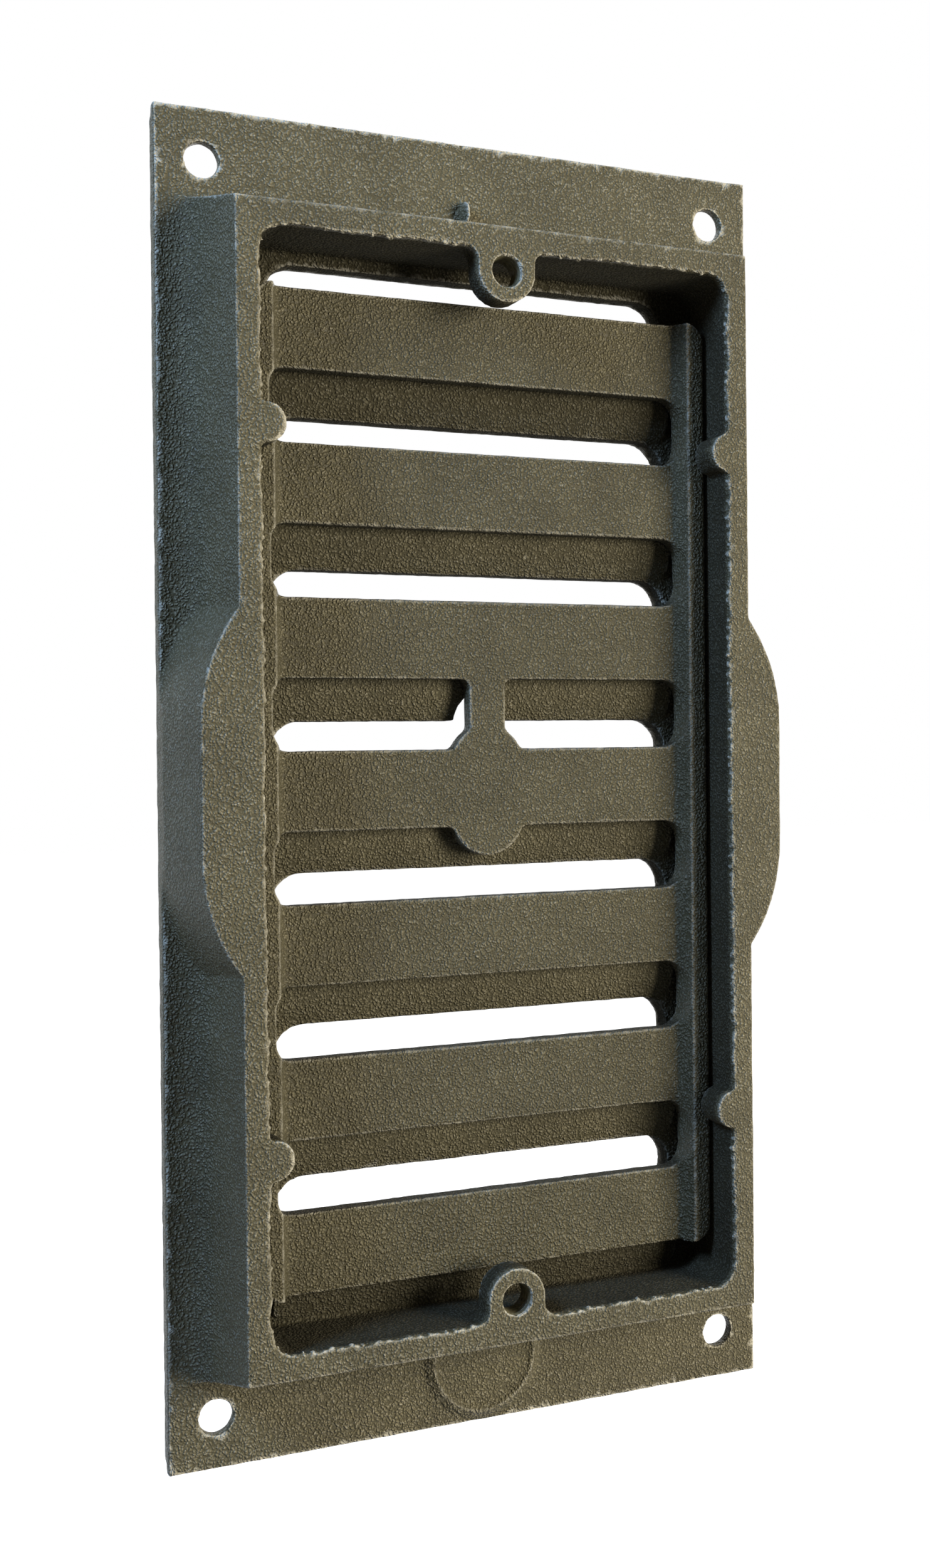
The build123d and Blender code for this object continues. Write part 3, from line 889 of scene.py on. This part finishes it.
class VENT_OT_stage(bpy.types.Operator):
    """Pale floor, soft lights and the camera"""
    bl_idname = "vent.stage"
    bl_label = "Stage"

    def execute(self, context):
        scene = context.scene
        floor_z = CAD_LOW.z - 90 * MM
        bpy.ops.mesh.primitive_plane_add(size=6, location=(0, 0, floor_z))
        floor = context.object
        floor.name = "floor"
        material = new_material("white paper floor")
        tree = material.node_tree
        paper = add(tree, "ShaderNodeBsdfDiffuse", {"Color": linear("#F4F4F4")})
        # scattered light finds a grey paper, so that little of it comes back up
        grey = add(tree, "ShaderNodeBsdfDiffuse", {"Color": linear("#585858")})
        # the glow rises to plain white away from the object, so that the paper has no far edge
        here = add(tree, "ShaderNodeNewGeometry")
        away = add(tree, "ShaderNodeVectorMath", {0: here.outputs["Position"]}, operation="LENGTH")
        rise = add(tree, "ShaderNodeMapRange", {
            "Value": away.outputs["Value"], "From Min": 0.20, "From Max": 0.34,
            "To Min": 0.70, "To Max": 1.0})
        glow = add(tree, "ShaderNodeEmission", {"Strength": rise.outputs["Result"]})
        both = add(tree, "ShaderNodeAddShader", {
            0: paper.outputs["BSDF"], 1: glow.outputs["Emission"]})
        mix = add(tree, "ShaderNodeMixShader", {
            "Fac": seen_directly(tree), 1: grey.outputs["BSDF"], 2: both.outputs["Shader"]})
        add(tree, "ShaderNodeOutputMaterial", {"Surface": mix.outputs["Shader"]})
        floor.data.materials.append(material)
        floor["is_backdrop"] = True

        world = bpy.data.worlds.new("studio")
        world.use_nodes = True
        tree = world.node_tree
        tree.nodes.clear()
        dim = add(tree, "ShaderNodeBackground", {"Color": linear("#FFF8EE"), "Strength": 0.03})
        white = add(tree, "ShaderNodeBackground", {"Color": linear("#FFFFFF"), "Strength": 1.0})
        mix = add(tree, "ShaderNodeMixShader", {
            "Fac": seen_directly(tree), 1: dim.outputs["Background"],
            2: white.outputs["Background"]})
        add(tree, "ShaderNodeOutputWorld", {"Surface": mix.outputs["Shader"]})
        scene.world = world

        area_light("warm key", (-0.55, 0.70, 0.09), (0, 0, 0), (0.35, 0.50), 15.6, "#FFF6EA")
        area_light("cool window", (0.34, 0.14, 0.27), (0.03, 0, 0.05), (0.09, 0.16), 2.7, "#A8CAFF")
        area_light("front fill", (-0.25, -0.80, 0.35), (0, 0, 0), (0.5, 0.5), 3.0, "#FFFFFF")

        camera = bpy.data.objects.new("camera", bpy.data.cameras.new("camera"))
        camera.location = (0.1148, 0.2682, 0.0078)
        camera.rotation_euler = Euler([math.radians(a) for a in (89.48, 0.59, 156.28)])
        camera.data.lens = 38.85
        camera.data.shift_x = -0.0178
        camera.data.shift_y = -0.0187
        camera.data.clip_start = 0.01
        scene.collection.objects.link(camera)
        scene.camera = camera
        scene.view_settings.view_transform = "Standard"
        return {"FINISHED"}


class VENT_PT_panel(bpy.types.Panel):
    """Lists the grille's pieces"""
    bl_idname = "VENT_PT_panel"
    bl_label = "Vent Grille"
    bl_space_type = "VIEW_3D"
    bl_region_type = "UI"
    bl_category = "Vent Grille"

    def draw(self, context):
        for group in ("vent_iron", "vent_skin", "vent_slide", "vent_thread"):
            values = getattr(context.scene, group)
            for name in values.__annotations__:
                self.layout.prop(values, name)
        for operator in OPERATORS:
            self.layout.operator(operator.bl_idname)


OPERATORS = (VENT_OT_frame, VENT_OT_slide, VENT_OT_threads, VENT_OT_stage)
GROUPS = {"vent_iron": CastIronFinish, "vent_skin": CastingSkin, "vent_slide": SlideSizes,
          "vent_thread": LugThread}
CLASSES = tuple(GROUPS.values()) + OPERATORS + (VENT_PT_panel,)


def register():
    for cls in CLASSES:
        bpy.utils.register_class(cls)
    for name, group in GROUPS.items():
        setattr(bpy.types.Scene, name, bpy.props.PointerProperty(type=group))


def unregister():
    for name in GROUPS:
        delattr(bpy.types.Scene, name)
    for cls in reversed(CLASSES):
        bpy.utils.unregister_class(cls)


def main():
    register()
    bpy.ops.vent.frame()
    bpy.ops.vent.slide()
    bpy.ops.vent.threads()
    bpy.ops.vent.stage()


if __name__ == "__main__":
    main()
